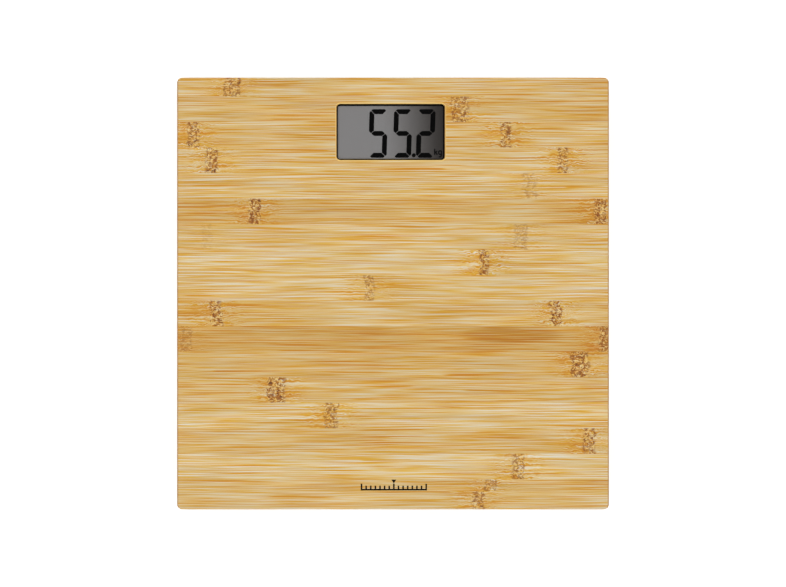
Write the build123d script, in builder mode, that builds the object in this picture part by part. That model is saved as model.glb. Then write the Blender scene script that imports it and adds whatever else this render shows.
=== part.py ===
from build123d import *
import math
import os

os.makedirs("parts", exist_ok=True)

# Digital bathroom scale with a bamboo platform, in millimetres.
# X points right, Y away from the user towards the display, Z up.
# The origin lies on the floor below the middle of the platform.

# Platform
SIDE = 300.0
BOARD_Z = 8.0  # height of the underside
BOARD_THICK = 16.0
CORNER_R = 3.5
EDGE_R = 1.2
PILOT_GAP = 0.03  # a screw hole's radius over its thread's
PILOT_DEEPER = 0.4

# Display: everything electrical is centred on DISPLAY_X
DISPLAY_X = -1.6
DISPLAY_Y = 112.2
WINDOW = (75.0, 39.0)
WINDOW_R = 2.5
WINDOW_CHAMFER = 0.5
LENS = (74.6, 38.6)
LENS_R = 2.3
LENS_THICK = 1.6
LENS_CHAMFER = 0.15
TAPE_THICK = 0.5
TAPE_OPENING = (73.2, 37.0)
TAPE_OPENING_R = 1.4
TAPE_SHIFT = (-0.15, -0.35)  # the black border is wider at the right and at the rear
COLLAR = (74.7, 38.7)
COLLAR_R = 2.35
COLLAR_OPENING = (73.8, 37.6)
COLLAR_OPENING_R = 1.2
FRONT_GLASS = (73.5, 37.3)
FRONT_GLASS_CUT = 0.8  # its corners are cut off
REAR_GLASS_DEPTH = 31.5
GLASS_THICK = 1.1
FRAME_FLANGE = (96.0, 50.0)
ZEBRA = (68.0, 2.0)
ZEBRA_OFFSET = 17.1

# Circuit board
PCB = (90.0, 46.0)
PCB_R = 1.5
PCB_Z = 14.3
PCB_THICK = 1.6
PCB_TOP = PCB_Z + PCB_THICK
SPACER = 0.2  # display frame's bosses stand this far off the circuit board
PCB_SCREW_X = 41.0
PCB_SCREW_REACH = 17.0  # in front of and behind DISPLAY_Y
PCB_SCREW_HOLE_R = 1.4

# Heights of the display stack
FLANGE_BASE = PCB_TOP + SPACER
POCKET_TOP = FLANGE_BASE + 1.4
REAR_GLASS_Z = 19.2
FRONT_GLASS_Z = REAR_GLASS_Z + GLASS_THICK
TAPE_Z = FRONT_GLASS_Z + GLASS_THICK
LENS_Z = TAPE_Z + TAPE_THICK

# Pockets in the underside of the board
POCKET = (104.0, 54.0)
POCKET_Y = 111.2
POCKET_R = 3.0
BAY_POCKET = (66.0, 39.5)
BAY_POCKET_Y = 66.25
BAY_POCKET_TOP = 19.3

# Electronics housing
PLATE_Z = 5.2
PLATE_THICK = 1.8
PLATE_TOP = PLATE_Z + PLATE_THICK
HOUSING = (122.0, 104.0)
HOUSING_Y = 93.0
HOUSING_R = 8.0
HOUSING_EDGE_R = 1.2
HOUSING_FRONT = HOUSING_Y - HOUSING[1] / 2
RIM_GAP = 0.3
RIM_WALL = 1.6
RIM_TOP = 9.8

# Battery box, centred on BAY_Y
BAY_Y = 66.0
BAY = (50.8, 22.8)
BAY_TOP = 18.0
BOX = (54.0, 26.0)
BOX_R = 1.0
BOX_TOP = 19.2
LEDGE = (62.0, 36.0)
LEDGE_TOP = 9.6
RECESS = (54.4, 30.8)

# Battery door
DOOR_GAP = 0.2
DOOR_HALF = RECESS[0] / 2 - DOOR_GAP
HINGE_Y = 52.2
HINGE_Z = 6.6
BARREL_R = 1.4
BARREL_GAP = 0.2
PIN_R = 0.9
PIN_LENGTH = 1.8
PIN_BORE_R = 0.95
DOOR_REAR = BAY_Y + RECESS[1] / 2 - DOOR_GAP
DOOR_RIB = (44.0, 1.6)
DOOR_RIB_TOP = 9.2
LATCH = (14.0, 9.0)
LATCH_SLIT = 0.8
LATCH_BUMP = 0.15
GRIP = (10.0, 0.8)
GRIP_DEPTH = 0.5
GRIP_INSET = 2.2
GRIP_COUNT = 4
GRIP_PITCH = 1.8

# AAA cells
CELL_R = 5.25
CELL_LENGTH = 44.5
CELL_EDGE_R = 0.5
NUB_R = 1.9
NUB_LENGTH = 0.8
NUB_EDGE_R = 0.25
CELL_Z = 12.55
CELL_PITCH = 11.2
CELL_Y = (BAY_Y - CELL_PITCH / 2, BAY_Y + CELL_PITCH / 2)
CONTACT_THICK = 0.4
CONTACT_HEIGHT = 8.0
CONTACT_CORNER_R = 1.0
CONTACT_INSET = 1.2
DIMPLE_R = 2.2
DIMPLE_RISE = 0.9
DIMPLE_TAPER = 25.0  # degrees
SPRING_WIRE_R = 0.25
SPRING_GAP = 0.02  # at each end of a spring
SPRING_TURNS = 4
SPRING_WIDE_R = 3.6
SPRING_CONE = 14.0  # degrees
SPRING_SPACE = BAY[0] - 2 * CONTACT_THICK - CELL_LENGTH - DIMPLE_RISE
TAB_Z = 10.8
TAB_WIDTH = 2.4
TAB_REACH = 3.2
TAB_GAP = 0.2
LEAD_R = 0.6
RED_LEAD = (31.4, 97.0, 2.0)  # x and y at the circuit board, radius of the first bend
BLACK_LEAD = (29.8, 95.5, 0.9)
LEAD_LAST_BEND = 2.0

# Unit button and its switch
SWITCH_AT = (-20.0, 98.0)
SWITCH = 6.0
SWITCH_R = 0.5
SWITCH_Z = 10.5
SWITCH_LEGS = (8.4, 0.8)
SWITCH_LEG_PITCH = 4.2
SWITCH_LEG_THICK = 0.4
PLUNGER_R = 1.75
PLUNGER_GAP = 0.1
PLUNGER_TOP = 12.2
PLUNGER_CHAMFER = 0.25
BORE_TOP = 12.9
BUTTON_R = 4.0
BUTTON_GAP = 0.25
BUTTON_Z = 5.6
BUTTON_EDGE_R = 0.5
BUTTON_HOLE_CHAMFER = 0.3
DISH_R = 9.0
DISH_DEPTH = 0.4
BUTTON_FLANGE_R = 5.2
BUTTON_FLANGE_TOP = 8.0
STEM_R = 2.0
STEM_TOP = 9.6

# Feet with their load cells, at the four corners
FOOT_X = 112.0
FOOT_Y = 112.0
FOOT_POCKET_R = 26.0
BODY_ROOF = 17.0  # the load cell housing's body, in the pocket
BODY_CEILING = 15.4
BODY_R = 25.8
CAVITY_R = 23.8
BAR = (28.0, 4.0)  # what the load cell's rim is staked to
FLANGE_Z = 6.4
FLANGE_R = 28.5
LUG_PITCH_R = 30.0
LUG_R = 4.0
LUG_NECK_R = 2.0
LUG_COUNT = 3
LUG_START = 60.0
PLATE = 34.0
PLATE_CORNER_R = 3.0
STEEL_Z = 11.2
STEEL_THICK = 1.8
STEEL_TOP = STEEL_Z + STEEL_THICK
SLOT_WIDTH = 3.0
SLOT_START = -13.5
SLOT_END = 6.5
SLOT_HALF = 9.0
TONGUE_HOLE_GAP = 0.25
STAKE_AT = (8.0, 13.0)
STAKE_R = 1.2
STAKE_GAP = 0.1
STAKE_HEAD_R = 1.9
STAKE_HEAD = 0.8
GAUGE = (7.0, 6.0)
GAUGE_X = 7.7
GAUGE_HEIGHT = 1.2
GAUGE_EDGE_R = 0.4
FOOT_R = 23.2
FOOT_EDGE_R = 1.0
FOOT_Z = 1.6
FOOT_BASE_TOP = 4.2
FOOT_RIM_TOP = 8.8
FOOT_RIM_WALL = 1.8
FOOT_RIB_TOP = 7.5
FOOT_RIB = 1.2
FOOT_RIBS = 6
BOSS_R = 4.5
FOOT_PILOT_DEEPER = 0.3
PAD_R = 18.9
PAD_EDGE_R = 0.4
PAD_GAP = 0.1
PAD_TOP = 2.6
PAD_RINGS = (7.0, 11.0, 15.0)
PAD_RING_WIDTH = 1.4
PAD_RING_DEPTH = 0.6

# Sensor wires, their grooves in the board and the covers over them
WIRE_R = 0.5
WIRE_PITCH = 1.15
WIRE_Z = 10.7
GAUGE_WIRE_Z = STEEL_TOP + GAUGE_HEIGHT / 2
WIRE_DROP_START = 18.5
WIRE_DROP_END = 21.8
WIRE_BENDS = (3.0, 3.0, 2.0, 2.0)
GROOVE_WIDTH = 4.4
GROOVE_TOP = 12.5
COVER_WIDTH = 10.0
COVER_THICK = 1.2
COVER_START = 27.0
COVER_TUCK = 5.0  # length held under the electronics housing
COVER_GAP = 0.2
COVER_R = 1.5
FRONT_ENTRY = (40.0, 89.0)  # where the front and rear feet's wires enter the middle, right of DISPLAY_X
REAR_ENTRY = (48.0, FOOT_Y)
FRONT_PADS = (36.0, 98.0)  # where they are soldered to the circuit board
REAR_PADS = (38.0, 115.0)

# Screws: head radius, thread radius, length under the head or overall when countersunk
HOUSING_SCREW = (2.8, 1.5, 12.0)
LUG_SCREW = (2.4, 1.25, 10.0)
PCB_SCREW = (2.4, 1.15, 7.7)
FOOT_SCREW = (2.8, 1.45, 7.8)
PAN_HEAD = 1.6
PAN_CROWN = 0.25  # of the head's radius
THREAD_PITCH = 1.0
THREAD_DEPTH = 0.25
THREAD_CREST = (0.35, 0.5)  # where each turn's crest starts and ends, of the pitch
CROSS_LENGTH = 1.2  # the cross recess, of the head's radius
CROSS_WIDTH = 0.3
CROSS_DEPTH = 0.6  # of the head's height
SINK_ANGLE = 82.0  # degrees
SINK_GAP = 0.1
HOUSING_SCREWS = [(x, y) for x in (-56.5, 56.5) for y in (95.0, 137.0)] + [(-40.0, 47.0), (40.0, 47.0)]
PCB_SCREW_Y = (DISPLAY_Y - PCB_SCREW_REACH, DISPLAY_Y + PCB_SCREW_REACH)
PCB_SCREWS = [(x, y) for x in (-PCB_SCREW_X, PCB_SCREW_X) for y in PCB_SCREW_Y]


def level(z):
    """The horizontal plane at height z, centred across the electronics."""
    return Plane(origin=(DISPLAY_X, 0, z))


def save(name, part):
    """Labels a finished piece and writes it."""
    part.label = name
    export_step(part, f"parts/{name}.step")


class Corner:
    """A foot's place: its plane on the floor, with X along the wires' groove, and the wires' route."""

    def __init__(self, name, side, end):
        self.name = name
        front = end < 0
        entry_x, entry_y = FRONT_ENTRY if front else REAR_ENTRY
        pad_x, pad_y = FRONT_PADS if front else REAR_PADS
        self.entry = Vector(DISPLAY_X + side * entry_x, entry_y, WIRE_Z)
        self.pad = Vector(DISPLAY_X + side * pad_x, pad_y, WIRE_Z)
        self.centre = Vector(side * FOOT_X, end * FOOT_Y, WIRE_Z)
        self.along = (self.entry - self.centre).normalized()
        self.across = self.along.rotate(Axis.Z, 90)
        self.plane = Plane(origin=(self.centre.X, self.centre.Y, 0), x_dir=self.along)
        self.groove = (self.entry - self.centre).length
        to_housing = HOUSING_FRONT + FOOT_Y if front else FOOT_X - HOUSING[0] / 2 - side * DISPLAY_X
        slope = self.along.Y if front else abs(self.along.X)
        self.cover_end = to_housing / slope + COVER_TUCK

    def wire_points(self, shift):
        """The corners of one wire's route, shift to the side of the groove's middle."""
        gauge_end = self.centre + self.along * (GAUGE_X + GAUGE[0] / 2)
        rise = Vector(0, 0, GAUGE_WIRE_Z - WIRE_Z)
        points = [
            gauge_end + rise,
            self.centre + self.along * WIRE_DROP_START + rise,
            self.centre + self.along * WIRE_DROP_END,
            self.entry,
            self.pad,
            self.pad + Vector(0, 0, PCB_Z - WIRE_Z),
        ]
        return [point + self.across * shift for point in points]

    def lugs(self, z):
        """Where the three housing screws go in, at height z."""
        angles = [LUG_START + turn * 360 / LUG_COUNT for turn in range(LUG_COUNT)]
        spots = [self.along.rotate(Axis.Z, angle) * LUG_PITCH_R + self.centre for angle in angles]
        return [(spot.X, spot.Y, z) for spot in spots]


CORNERS = [
    Corner("front_left", -1, -1),
    Corner("front_right", 1, -1),
    Corner("rear_left", -1, 1),
    Corner("rear_right", 1, 1),
]


def sink_depth(head_r, thread_r):
    """Height of a countersunk head."""
    return (head_r - thread_r) / math.tan(math.radians(SINK_ANGLE / 2))


def make_screw(size, countersunk):
    """A cross-head screw pointing up from its head's outer face at the origin."""
    head_r, thread_r, length = size
    core_r = thread_r - THREAD_DEPTH
    if countersunk:
        seat = sink_depth(head_r, thread_r)
        tip = length
        head = [(0, 0), (head_r, 0), (core_r, seat + THREAD_DEPTH)]
    else:
        seat = PAN_HEAD
        tip = length + seat
        crown = head_r * PAN_CROWN
        head = [(0, 0), (head_r - crown, 0), (head_r, crown), (head_r, seat), (core_r, seat)]
    thread_start = head[-1][1] + THREAD_PITCH / 2
    turns = int((tip - thread_start) / THREAD_PITCH) - 1
    thread = []
    for turn in range(turns):
        z = thread_start + turn * THREAD_PITCH
        thread += [(core_r, z)] + [(thread_r, z + THREAD_PITCH * crest) for crest in THREAD_CREST]
    with BuildPart() as screw:
        with BuildSketch(Plane.XZ):
            with BuildLine():
                Polyline(*head, *thread, (core_r, tip - core_r), (0, tip), close=True)
            make_face()
        revolve(axis=Axis.Z)
        with BuildSketch(Plane.XY):
            Rectangle(head_r * CROSS_LENGTH, head_r * CROSS_WIDTH)
            Rectangle(head_r * CROSS_WIDTH, head_r * CROSS_LENGTH)
        extrude(amount=seat * CROSS_DEPTH, mode=Mode.SUBTRACT)
    return screw.part


def screw_group(name, size, countersunk, spots):
    """The same screw at each spot, head down."""
    screw = make_screw(size, countersunk)
    with BuildPart() as group:
        with Locations(*spots):
            add(screw)
    save(name, group.part)


# ---------------------------------------------------------------- platform
HOUSING_PILOTS = (HOUSING_SCREWS, HOUSING_SCREW[1], PLATE_Z + HOUSING_SCREW[2])
PCB_PILOTS = (PCB_SCREWS, PCB_SCREW[1], PCB_Z + PCB_SCREW[2])
LUG_SPOTS = [spot for corner in CORNERS for spot in corner.lugs(FLANGE_Z)]
LUG_PILOTS = ([(x - DISPLAY_X, y) for x, y, z in LUG_SPOTS], LUG_SCREW[1], FLANGE_Z + LUG_SCREW[2])

with BuildPart() as platform:
    with BuildSketch(Plane.XY.offset(BOARD_Z)):
        RectangleRounded(SIDE, SIDE, CORNER_R)
    extrude(amount=BOARD_THICK)
    fillet(platform.faces().filter_by(Axis.Z).edges(), EDGE_R)
    with BuildSketch(level(BOARD_Z)):
        with Locations((0, DISPLAY_Y)):
            RectangleRounded(*WINDOW, WINDOW_R)
    extrude(amount=BOARD_THICK, mode=Mode.SUBTRACT)
    chamfer(platform.faces().sort_by(Axis.Z)[-1].inner_wires().edges(), WINDOW_CHAMFER)
    with BuildSketch(level(BOARD_Z)):
        with Locations((0, POCKET_Y)):
            RectangleRounded(*POCKET, POCKET_R)
    extrude(amount=POCKET_TOP - BOARD_Z, mode=Mode.SUBTRACT)
    with BuildSketch(level(BOARD_Z)):
        with Locations((0, BAY_POCKET_Y)):
            RectangleRounded(*BAY_POCKET, POCKET_R)
    extrude(amount=BAY_POCKET_TOP - BOARD_Z, mode=Mode.SUBTRACT)
    with BuildSketch(Plane.XY.offset(BOARD_Z)):
        with GridLocations(2 * FOOT_X, 2 * FOOT_Y, 2, 2):
            Circle(FOOT_POCKET_R)
    extrude(amount=BODY_ROOF - BOARD_Z, mode=Mode.SUBTRACT)
    # wire grooves, and the rebates of their covers
    for corner in CORNERS:
        with BuildSketch(corner.plane.offset(BOARD_Z)):
            with Locations((corner.groove / 2, 0)):
                Rectangle(corner.groove, GROOVE_WIDTH)
        extrude(amount=GROOVE_TOP - BOARD_Z, mode=Mode.SUBTRACT)
        with BuildSketch(corner.plane.offset(BOARD_Z)):
            with Locations(((COVER_START + corner.cover_end) / 2, 0)):
                RectangleRounded(corner.cover_end - COVER_START, COVER_WIDTH, COVER_R)
        extrude(amount=COVER_THICK, mode=Mode.SUBTRACT)
    # blind holes for the screws, a little deeper than their tips
    for spots, thread_r, tip in (HOUSING_PILOTS, PCB_PILOTS, LUG_PILOTS):
        with BuildSketch(level(BOARD_Z)):
            with Locations(*spots):
                Circle(thread_r + PILOT_GAP)
        extrude(amount=tip + PILOT_DEEPER - BOARD_Z, mode=Mode.SUBTRACT)
save("bamboo_platform", platform.part)


# ---------------------------------------------------------------- display
with BuildPart() as display_frame:
    with BuildSketch(level(FLANGE_BASE)):
        with Locations((0, DISPLAY_Y)):
            RectangleRounded(*FRAME_FLANGE, POCKET_R)
    extrude(amount=POCKET_TOP - FLANGE_BASE)
    with BuildSketch(level(PCB_TOP)):
        with Locations(*PCB_SCREWS):
            Circle(2 * PCB_SCREW_HOLE_R)
    extrude(amount=SPACER)
    with BuildSketch(level(POCKET_TOP)):
        with Locations((0, DISPLAY_Y)):
            RectangleRounded(*COLLAR, COLLAR_R)
    extrude(amount=TAPE_Z - POCKET_TOP)
    with BuildSketch(level(PCB_TOP)):
        with Locations((0, DISPLAY_Y)):
            RectangleRounded(*COLLAR_OPENING, COLLAR_OPENING_R)
        with Locations(*PCB_SCREWS):
            Circle(PCB_SCREW_HOLE_R)
    extrude(amount=TAPE_Z - PCB_TOP, mode=Mode.SUBTRACT)
save("display_frame", display_frame.part)

with BuildPart() as lens_adhesive:
    with BuildSketch(level(TAPE_Z)):
        with Locations((0, DISPLAY_Y)):
            RectangleRounded(*LENS, LENS_R)
        with Locations((TAPE_SHIFT[0], DISPLAY_Y + TAPE_SHIFT[1])):
            RectangleRounded(*TAPE_OPENING, TAPE_OPENING_R, mode=Mode.SUBTRACT)
    extrude(amount=TAPE_THICK)
save("lens_adhesive", lens_adhesive.part)

with BuildPart() as lcd_lens:
    with BuildSketch(level(LENS_Z)):
        with Locations((0, DISPLAY_Y)):
            RectangleRounded(*LENS, LENS_R)
    extrude(amount=LENS_THICK)
    chamfer(lcd_lens.faces().sort_by(Axis.Z)[-1].edges(), LENS_CHAMFER)
save("lcd_lens", lcd_lens.part)

with BuildPart() as front_glass:
    with BuildSketch(level(FRONT_GLASS_Z)):
        with Locations((0, DISPLAY_Y)):
            Rectangle(*FRONT_GLASS)
    extrude(amount=GLASS_THICK)
    chamfer(front_glass.edges().filter_by(Axis.Z), FRONT_GLASS_CUT)
save("lcd_front_glass", front_glass.part)

with BuildPart() as rear_glass:
    with BuildSketch(level(REAR_GLASS_Z)):
        with Locations((0, DISPLAY_Y)):
            Rectangle(FRONT_GLASS[0], REAR_GLASS_DEPTH)
    extrude(amount=GLASS_THICK)
save("lcd_rear_glass", rear_glass.part)

with BuildPart() as zebra_strips:
    with BuildSketch(level(PCB_TOP)):
        with Locations((0, DISPLAY_Y - ZEBRA_OFFSET), (0, DISPLAY_Y + ZEBRA_OFFSET)):
            Rectangle(*ZEBRA)
    extrude(amount=FRONT_GLASS_Z - PCB_TOP)
save("zebra_strips", zebra_strips.part)


# ---------------------------------------------------------------- circuit board
CHIP_AT = (4.0, 117.0)
CHIP_R = 6.0
CHIP_DROP = 1.8
CAPACITORS = [(18.0, 104.0), (24.0, 104.0)]
CAPACITOR_R = 2.2
CAPACITOR_HEIGHT = 4.4
CRYSTAL_AT = (6.0, 103.0)
CRYSTAL = (11.0, 4.6)
CRYSTAL_HEIGHT = 3.5
CAN_R = 0.4  # rounding of the cans' ends
CHIP_PARTS = [(x, y) for x in (-8.0, -4.0, 14.0, 18.0, 22.0) for y in (112.0, 122.0)]
CHIP_PART = (2.0, 1.25)
CHIP_PART_HEIGHT = 0.6

with BuildPart() as main_pcb:
    with BuildSketch(level(PCB_Z)):
        with Locations((0, DISPLAY_Y)):
            RectangleRounded(*PCB, PCB_R)
        with Locations(*PCB_SCREWS):
            Circle(PCB_SCREW_HOLE_R, mode=Mode.SUBTRACT)
    extrude(amount=PCB_THICK)
save("main_pcb", main_pcb.part)

with BuildPart() as controller_chip:
    chip_centre = (DISPLAY_X + CHIP_AT[0], CHIP_AT[1], PCB_Z)
    with BuildSketch(Plane(origin=chip_centre, z_dir=(0, -1, 0), x_dir=(1, 0, 0))):
        with BuildLine():
            Line((0, -CHIP_DROP), (0, 0))
            Line((0, 0), (CHIP_R, 0))
            EllipticalCenterArc((0, 0), CHIP_R, CHIP_DROP, start_angle=270, arc_size=90)
        make_face()
    revolve(axis=Axis(chip_centre, (0, 0, 1)))
save("controller_chip", controller_chip.part)

with BuildPart() as pcb_components:
    with BuildSketch(level(PCB_Z)):
        with Locations(*CAPACITORS):
            Circle(CAPACITOR_R)
    extrude(amount=-CAPACITOR_HEIGHT)
    with BuildSketch(level(PCB_Z)):
        with Locations(CRYSTAL_AT):
            SlotOverall(*CRYSTAL)
    extrude(amount=-CRYSTAL_HEIGHT)
    fillet(pcb_components.faces().sort_by(Axis.Z)[0].edges(), CAN_R)
    with BuildSketch(level(PCB_Z)):
        with Locations(*CHIP_PARTS):
            Rectangle(*CHIP_PART)
    extrude(amount=-CHIP_PART_HEIGHT)
save("pcb_components", pcb_components.part)

with BuildPart() as unit_switch:
    with BuildSketch(level(SWITCH_Z)):
        with Locations(SWITCH_AT):
            RectangleRounded(SWITCH, SWITCH, SWITCH_R)
    extrude(amount=PCB_Z - SWITCH_Z)
    with BuildSketch(level(PCB_Z)):
        with Locations(SWITCH_AT):
            with GridLocations(0, SWITCH_LEG_PITCH, 1, 2):
                Rectangle(*SWITCH_LEGS)
    extrude(amount=-SWITCH_LEG_THICK)
    with BuildSketch(level(SWITCH_Z)):
        with Locations(SWITCH_AT):
            Circle(PLUNGER_R + PLUNGER_GAP)
    extrude(amount=BORE_TOP - SWITCH_Z, mode=Mode.SUBTRACT)
save("unit_switch", unit_switch.part)

with BuildPart() as switch_plunger:
    with BuildSketch(level(STEM_TOP)):
        with Locations(SWITCH_AT):
            Circle(PLUNGER_R)
    extrude(amount=PLUNGER_TOP - STEM_TOP)
    chamfer(switch_plunger.faces().sort_by(Axis.Z)[0].edges(), PLUNGER_CHAMFER)
save("switch_plunger", switch_plunger.part)

with BuildPart() as unit_button:
    with BuildSketch(level(BUTTON_Z)):
        with Locations(SWITCH_AT):
            Circle(BUTTON_R)
    extrude(amount=PLATE_TOP - BUTTON_Z)
    fillet(unit_button.faces().sort_by(Axis.Z)[0].edges(), BUTTON_EDGE_R)
    with BuildSketch(level(PLATE_TOP)):
        with Locations(SWITCH_AT):
            Circle(BUTTON_FLANGE_R)
    extrude(amount=BUTTON_FLANGE_TOP - PLATE_TOP)
    with BuildSketch(level(BUTTON_FLANGE_TOP)):
        with Locations(SWITCH_AT):
            Circle(STEM_R)
    extrude(amount=STEM_TOP - BUTTON_FLANGE_TOP)
    # the dish for a finger
    with Locations((DISPLAY_X + SWITCH_AT[0], SWITCH_AT[1], BUTTON_Z + DISH_DEPTH - DISH_R)):
        Sphere(DISH_R, mode=Mode.SUBTRACT)
save("unit_button", unit_button.part)


# ---------------------------------------------------------------- electronics housing
HINGE = Plane(origin=(DISPLAY_X, HINGE_Y, HINGE_Z), x_dir=(0, 1, 0), z_dir=(1, 0, 0))

with BuildPart() as electronics_housing:
    with BuildSketch(level(PLATE_Z)):
        with Locations((0, HOUSING_Y)):
            RectangleRounded(*HOUSING, HOUSING_R)
    extrude(amount=BOARD_Z - PLATE_Z)
    fillet(electronics_housing.faces().sort_by(Axis.Z)[0].edges(), HOUSING_EDGE_R)
    with BuildSketch(level(BOARD_Z)):
        with Locations((0, POCKET_Y)):
            RectangleRounded(POCKET[0] - 2 * RIM_GAP, POCKET[1] - 2 * RIM_GAP, POCKET_R - RIM_GAP)
    extrude(amount=RIM_TOP - BOARD_Z)
    with BuildSketch(level(BOARD_Z)):
        with Locations((0, BAY_Y)):
            Rectangle(*LEDGE)
    extrude(amount=LEDGE_TOP - BOARD_Z)
    with BuildSketch(level(BOARD_Z)):
        with Locations((0, BAY_Y)):
            RectangleRounded(*BOX, BOX_R)
    extrude(amount=BOX_TOP - BOARD_Z)
    # the hollow under the circuit board, inside the locating rim
    hollow = (POCKET[0] - 2 * (RIM_GAP + RIM_WALL), POCKET[1] - 2 * (RIM_GAP + RIM_WALL))
    with BuildSketch(level(PLATE_TOP)):
        with Locations((0, POCKET_Y)):
            RectangleRounded(*hollow, POCKET_R - RIM_GAP - RIM_WALL)
    extrude(amount=RIM_TOP - PLATE_TOP, mode=Mode.SUBTRACT)
    # the battery bay and the recess for its door
    with BuildSketch(level(PLATE_Z)):
        with Locations((0, BAY_Y)):
            Rectangle(*BAY)
    extrude(amount=BAY_TOP - PLATE_Z, mode=Mode.SUBTRACT)
    with BuildSketch(level(PLATE_Z)):
        with Locations((0, BAY_Y)):
            Rectangle(*RECESS)
    extrude(amount=PLATE_THICK, mode=Mode.SUBTRACT)
    # the hinge: room for the barrel, and a bore for each pin
    with BuildSketch(HINGE):
        Circle(BARREL_R + BARREL_GAP)
    extrude(amount=RECESS[0] / 2, both=True, mode=Mode.SUBTRACT)
    with BuildSketch(HINGE):
        Circle(PIN_BORE_R)
    extrude(amount=DOOR_HALF + PIN_LENGTH + DOOR_GAP, both=True, mode=Mode.SUBTRACT)
    # slots for the contacts' solder tabs
    with BuildSketch(level(TAB_Z - TAB_GAP)):
        with Locations(*[(BOX[0] / 2, y) for y in CELL_Y]):
            Rectangle(2 * (BOX[0] - BAY[0]), TAB_WIDTH + 2 * TAB_GAP)
    extrude(amount=CONTACT_THICK + 2 * TAB_GAP, mode=Mode.SUBTRACT)
    # the unit button's hole
    with BuildSketch(level(PLATE_Z)):
        with Locations(SWITCH_AT):
            Circle(BUTTON_R + BUTTON_GAP)
    extrude(amount=PLATE_THICK, mode=Mode.SUBTRACT)
    round_edges = electronics_housing.edges().filter_by(GeomType.CIRCLE)
    hole_edges = round_edges.filter_by(lambda edge: math.isclose(edge.radius, BUTTON_R + BUTTON_GAP))
    chamfer(hole_edges.sort_by(Axis.Z)[0], BUTTON_HOLE_CHAMFER)
    # countersunk screw holes
    with Locations(*[Location((DISPLAY_X + x, y, PLATE_Z), (180, 0, 0)) for x, y in HOUSING_SCREWS]):
        CounterSinkHole(
            radius=HOUSING_SCREW[1] + SINK_GAP,
            counter_sink_radius=HOUSING_SCREW[0] + SINK_GAP,
            depth=BOARD_Z - PLATE_Z,
            counter_sink_angle=SINK_ANGLE,
        )
save("electronics_housing", electronics_housing.part)

HOUSING_SPOTS = [(DISPLAY_X + x, y, PLATE_Z) for x, y in HOUSING_SCREWS]
screw_group("housing_screws", HOUSING_SCREW, True, HOUSING_SPOTS)

PCB_SPOTS = [(DISPLAY_X + x, y, PCB_Z - PAN_HEAD) for x, y in PCB_SCREWS]
screw_group("pcb_screws", PCB_SCREW, False, PCB_SPOTS)


# ---------------------------------------------------------------- battery door
with BuildPart() as battery_door:
    with BuildSketch(level(PLATE_Z)):
        with Locations((0, (HINGE_Y + DOOR_REAR) / 2)):
            Rectangle(2 * DOOR_HALF, DOOR_REAR - HINGE_Y)
    extrude(amount=PLATE_THICK)
    with BuildSketch(HINGE):
        Circle(BARREL_R)
    extrude(amount=DOOR_HALF, both=True)
    with BuildSketch(HINGE):
        Circle(PIN_R)
    extrude(amount=DOOR_HALF + PIN_LENGTH, both=True)
    with BuildSketch(level(PLATE_TOP)):
        with Locations((0, BAY_Y)):
            Rectangle(*DOOR_RIB)
    extrude(amount=DOOR_RIB_TOP - PLATE_TOP)
    # the latch: a tongue between two slits, with a bump on its edge and grips for a finger
    with BuildSketch(level(PLATE_Z)):
        with Locations((0, DOOR_REAR - LATCH[1] / 2)):
            with GridLocations(LATCH[0] + LATCH_SLIT, 0, 2, 1):
                Rectangle(LATCH_SLIT, LATCH[1])
    extrude(amount=PLATE_THICK, mode=Mode.SUBTRACT)
    with BuildSketch(level(PLATE_Z)):
        for grip in range(GRIP_COUNT):
            with Locations((0, DOOR_REAR - GRIP_INSET - grip * GRIP_PITCH)):
                SlotOverall(*GRIP)
    extrude(amount=GRIP_DEPTH, mode=Mode.SUBTRACT)
    with BuildSketch(level(PLATE_Z + PLATE_THICK / 3)):
        with Locations((0, DOOR_REAR)):
            Rectangle(GRIP[0], 2 * LATCH_BUMP)
    extrude(amount=PLATE_THICK / 3)
save("battery_door", battery_door.part)


# ---------------------------------------------------------------- battery contacts and cells
WALL_X = BAY[0] / 2


def bay_plane(side, y, inset=0.0):
    """A plane facing into the bay, inset from its end wall: side -1 is the left wall."""
    return Plane(
        origin=(DISPLAY_X + side * (WALL_X - inset), y, CELL_Z), x_dir=(0, -side, 0), z_dir=(-side, 0, 0)
    )


def make_cell(name, side, y):
    """An AAA cell with its flat end towards a spring on the given side."""
    start = bay_plane(side, y, CONTACT_THICK + SPRING_SPACE)
    with BuildPart() as cell:
        with BuildSketch(start):
            Circle(CELL_R)
        extrude(amount=CELL_LENGTH - NUB_LENGTH)
        fillet(cell.edges(), CELL_EDGE_R)
        with BuildSketch(start.offset(CELL_LENGTH - NUB_LENGTH)):
            Circle(NUB_R)
        extrude(amount=NUB_LENGTH)
        tip = cell.faces().sort_by(Axis.X)[-1 if side < 0 else 0]
        fillet(tip.edges(), NUB_EDGE_R)
    save(name, cell.part)


make_cell("battery_1", -1, CELL_Y[0])
make_cell("battery_2", 1, CELL_Y[1])


def make_contact(name, side, y, width, dimple_y=None, tab=False):
    """A sprung steel contact on an end wall, with a dimple for a cell's nub and a solder tab if needed."""
    with BuildPart() as contact:
        with BuildSketch(bay_plane(side, y)):
            RectangleRounded(width, CONTACT_HEIGHT, CONTACT_CORNER_R)
        extrude(amount=CONTACT_THICK)
        if dimple_y:
            with BuildSketch(bay_plane(side, dimple_y)):
                Circle(DIMPLE_R)
            extrude(amount=CONTACT_THICK + DIMPLE_RISE, taper=DIMPLE_TAPER)
        if tab:
            with BuildSketch(level(TAB_Z)):
                with Locations((WALL_X - CONTACT_THICK / 2 + TAB_REACH / 2, y)):
                    Rectangle(TAB_REACH + CONTACT_THICK, TAB_WIDTH)
            extrude(amount=CONTACT_THICK)
    save(f"battery_contact_{name}", contact.part)


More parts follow.
